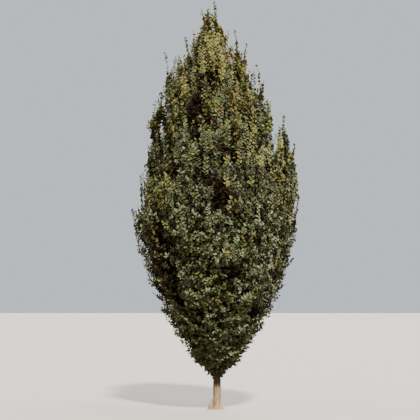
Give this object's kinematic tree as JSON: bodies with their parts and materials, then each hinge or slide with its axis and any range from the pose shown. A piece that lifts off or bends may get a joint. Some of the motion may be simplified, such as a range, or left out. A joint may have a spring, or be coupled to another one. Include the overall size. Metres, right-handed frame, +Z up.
{
  "type": "upright hornbeam tree",
  "caption": "Upright spindle-crowned hornbeam tree rooted in the ground: slender flared trunk, steep boughs and dense masses of small toothed leaves.",
  "frame": {"origin": "centre of the flat cut under the trunk, at ground level", "axes": "+Z up the trunk, -Y towards the viewer of the picture, +X to the viewer's right"},
  "size_m": [2.838, 2.8044, 6.9999],
  "materials": {
    "trunk_bark": "fluted grey-brown bark",
    "bough_bark": "smooth dark bark",
    "leaf_green": "satin leaf",
    "leaf_olive": "satin leaf"
  },
  "bodies": {
    "root": {"trunk": "trunk_bark", "bough_01": "bough_bark", "bough_02": "bough_bark", "bough_03": "bough_bark", "bough_04": "bough_bark", "bough_05": "bough_bark", "bough_06": "bough_bark", "bough_07": "bough_bark", "bough_08": "bough_bark", "bough_09": "bough_bark", "bough_10": "bough_bark", "bough_11": "bough_bark", "bough_12": "bough_bark", "bough_13": "bough_bark", "bough_14": "bough_bark", "bough_15": "bough_bark", "bough_16": "bough_bark", "bough_17": "bough_bark", "bough_18": "bough_bark", "bough_19": "bough_bark", "bough_20": "bough_bark", "leaves_01": "leaf_green", "leaves_02": "leaf_green", "leaves_03": "leaf_green", "leaves_04": "leaf_green", "leaves_05": "leaf_green", "leaves_06": "leaf_green", "leaves_07": "leaf_green", "leaves_08": "leaf_green", "leaves_09": "leaf_green", "leaves_10": "leaf_green", "leaves_11": "leaf_olive", "leaves_12": "leaf_olive", "leaves_13": "leaf_olive", "leaves_14": "leaf_olive", "leaves_15": "leaf_olive", "leaves_16": "leaf_olive", "leaves_17": "leaf_olive", "leaves_18": "leaf_olive", "leaves_19": "leaf_olive", "leaves_20": "leaf_olive", "leaves_top": "leaf_olive"}
  },
  "joints": []
}
